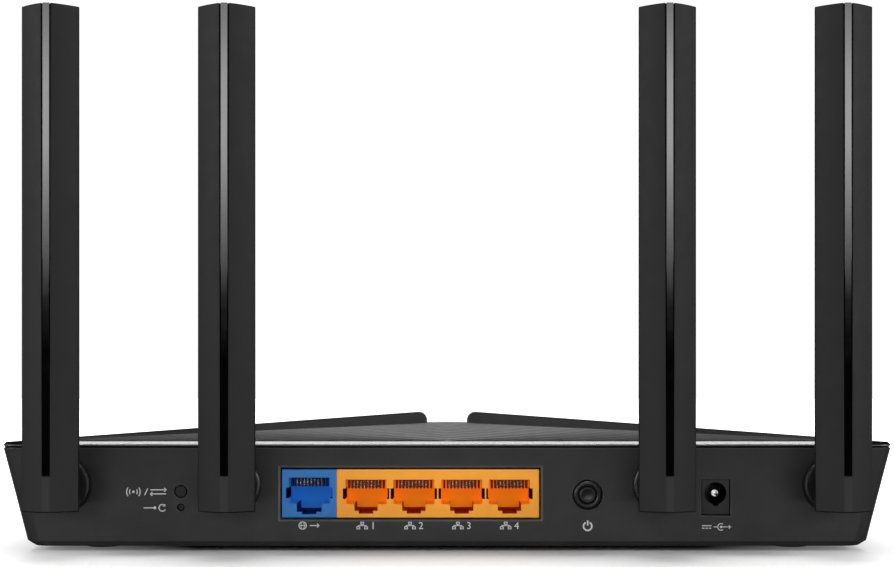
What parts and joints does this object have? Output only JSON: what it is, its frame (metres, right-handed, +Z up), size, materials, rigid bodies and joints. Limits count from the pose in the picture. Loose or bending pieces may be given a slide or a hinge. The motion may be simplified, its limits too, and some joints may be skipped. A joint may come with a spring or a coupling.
{
  "type": "wireless router",
  "caption": "Desktop wireless router: black wedge-topped case with a ribbed valley, swivelling and tilting blade antennas, network sockets and buttons on its rear panel.",
  "frame": {"origin": "on the surface it stands on, under the centre of the whole object's box", "axes": "+Z up, +Y from the rear panel towards the front edge, +X to the right as one faces the rear panel"},
  "size_m": [0.2632, 0.157, 0.1558],
  "materials": {
    "case_plastic": "fine matt texture",
    "cover_plastic": "satin, ribbed",
    "wing_plastic": "satin",
    "foot_rubber": "matt",
    "screw_steel": "zinc plated",
    "board_laminate": "solder mask",
    "wan_plastic": "satin blue",
    "lan_plastic": "satin orange",
    "contact_gold": "gold plated",
    "inlet_plastic": "satin",
    "bright_metal": "bright",
    "switch_plastic": "moulded",
    "clear_plastic": "clear moulding",
    "light_plastic": "clear green",
    "chip_plastic": "moulded",
    "pad_rubber": "soft pad",
    "sink_aluminium": "extruded",
    "shield_steel": "tinned",
    "capacitor_can": "sleeved can",
    "lead_rubber": "satin",
    "button_plastic": "satin",
    "antenna_plastic": "fine matt texture",
    "strip_gloss": "high gloss",
    "radiator_brass": "etched copper and brass"
  },
  "bodies": {
    "case": {"bottom_case": "case_plastic", "top_cover": "cover_plastic", "wing_panel_left": "wing_plastic", "wing_panel_right": "wing_plastic", "rubber_feet": "foot_rubber", "case_screws": "screw_steel", "main_board": "board_laminate", "board_screws": "screw_steel", "wan_jack": "wan_plastic", "wan_contacts": "contact_gold", "lan_jacks": "lan_plastic", "lan_contacts": "contact_gold", "dc_jack_body": "inlet_plastic", "dc_jack_pin": "bright_metal", "power_switch": "switch_plastic", "wps_switch": "switch_plastic", "reset_switch": "switch_plastic", "light_guide": "clear_plastic", "status_lights": "light_plastic", "main_processor": "chip_plastic", "thermal_pad": "pad_rubber", "heat_sink": "sink_aluminium", "radio_shields": "shield_steel", "memory_chips": "chip_plastic", "line_transformers": "chip_plastic", "capacitors": "capacitor_can", "antenna_sockets": "contact_gold", "antenna_leads": "lead_rubber"},
    "power_button": {"power_button": "button_plastic"},
    "wps_button": {"wps_button": "button_plastic"},
    "reset_plunger": {"reset_plunger": "button_plastic"},
    "antenna_1_swivel": {"antenna_1_base": "antenna_plastic", "antenna_1_clip": "bright_metal"},
    "antenna_1_blade": {"antenna_1_pin": "bright_metal", "antenna_1_frame": "antenna_plastic", "antenna_1_cover": "antenna_plastic", "antenna_1_strip": "strip_gloss", "antenna_1_radiator": "radiator_brass"},
    "antenna_2_swivel": {"antenna_2_base": "antenna_plastic", "antenna_2_clip": "bright_metal"},
    "antenna_2_blade": {"antenna_2_pin": "bright_metal", "antenna_2_frame": "antenna_plastic", "antenna_2_cover": "antenna_plastic", "antenna_2_strip": "strip_gloss", "antenna_2_radiator": "radiator_brass"},
    "antenna_3_swivel": {"antenna_3_base": "antenna_plastic", "antenna_3_clip": "bright_metal"},
    "antenna_3_blade": {"antenna_3_pin": "bright_metal", "antenna_3_frame": "antenna_plastic", "antenna_3_cover": "antenna_plastic", "antenna_3_strip": "strip_gloss", "antenna_3_radiator": "radiator_brass"},
    "antenna_4_swivel": {"antenna_4_base": "antenna_plastic", "antenna_4_clip": "bright_metal"},
    "antenna_4_blade": {"antenna_4_pin": "bright_metal", "antenna_4_frame": "antenna_plastic", "antenna_4_cover": "antenna_plastic", "antenna_4_strip": "strip_gloss", "antenna_4_radiator": "radiator_brass"}
  },
  "joints": [
    {"name": "antenna_1_turn", "type": "hinge", "parent": "case", "child": "antenna_1_swivel", "pos_m": [-0.1121, -0.0565, 0.0194], "axis": [0, 1, 0], "range_deg": [-90, 12]},
    {"name": "antenna_1_tilt", "type": "hinge", "parent": "antenna_1_swivel", "child": "antenna_1_blade", "pos_m": [-0.1121, -0.0685, 0.0194], "axis": [1, 0, 0], "range_deg": [0, 90]},
    {"name": "antenna_2_turn", "type": "hinge", "parent": "case", "child": "antenna_2_swivel", "pos_m": [-0.0623, -0.0565, 0.0194], "axis": [0, 1, 0], "range_deg": [-12, 45]},
    {"name": "antenna_2_tilt", "type": "hinge", "parent": "antenna_2_swivel", "child": "antenna_2_blade", "pos_m": [-0.0623, -0.0685, 0.0194], "axis": [1, 0, 0], "range_deg": [0, 90]},
    {"name": "antenna_3_turn", "type": "hinge", "parent": "case", "child": "antenna_3_swivel", "pos_m": [0.0623, -0.0565, 0.0194], "axis": [0, 1, 0], "range_deg": [-45, 12]},
    {"name": "antenna_3_tilt", "type": "hinge", "parent": "antenna_3_swivel", "child": "antenna_3_blade", "pos_m": [0.0623, -0.0685, 0.0194], "axis": [1, 0, 0], "range_deg": [0, 90]},
    {"name": "antenna_4_turn", "type": "hinge", "parent": "case", "child": "antenna_4_swivel", "pos_m": [0.1121, -0.0565, 0.0194], "axis": [0, 1, 0], "range_deg": [-12, 90]},
    {"name": "antenna_4_tilt", "type": "hinge", "parent": "antenna_4_swivel", "child": "antenna_4_blade", "pos_m": [0.1121, -0.0685, 0.0194], "axis": [1, 0, 0], "range_deg": [0, 90]},
    {"name": "power_press", "type": "slide", "parent": "case", "child": "power_button", "axis": [0, 1, 0], "range_m": [0, 0.0025], "stiffness_N_per_m": 800, "springref_m": -0.001},
    {"name": "wps_press", "type": "slide", "parent": "case", "child": "wps_button", "axis": [0, 1, 0], "range_m": [0, 0.0005], "stiffness_N_per_m": 2000, "springref_m": -0.0003},
    {"name": "reset_press", "type": "slide", "parent": "case", "child": "reset_plunger", "axis": [0, 1, 0], "range_m": [0, 0.0004], "stiffness_N_per_m": 2000, "springref_m": -0.0003}
  ]
}
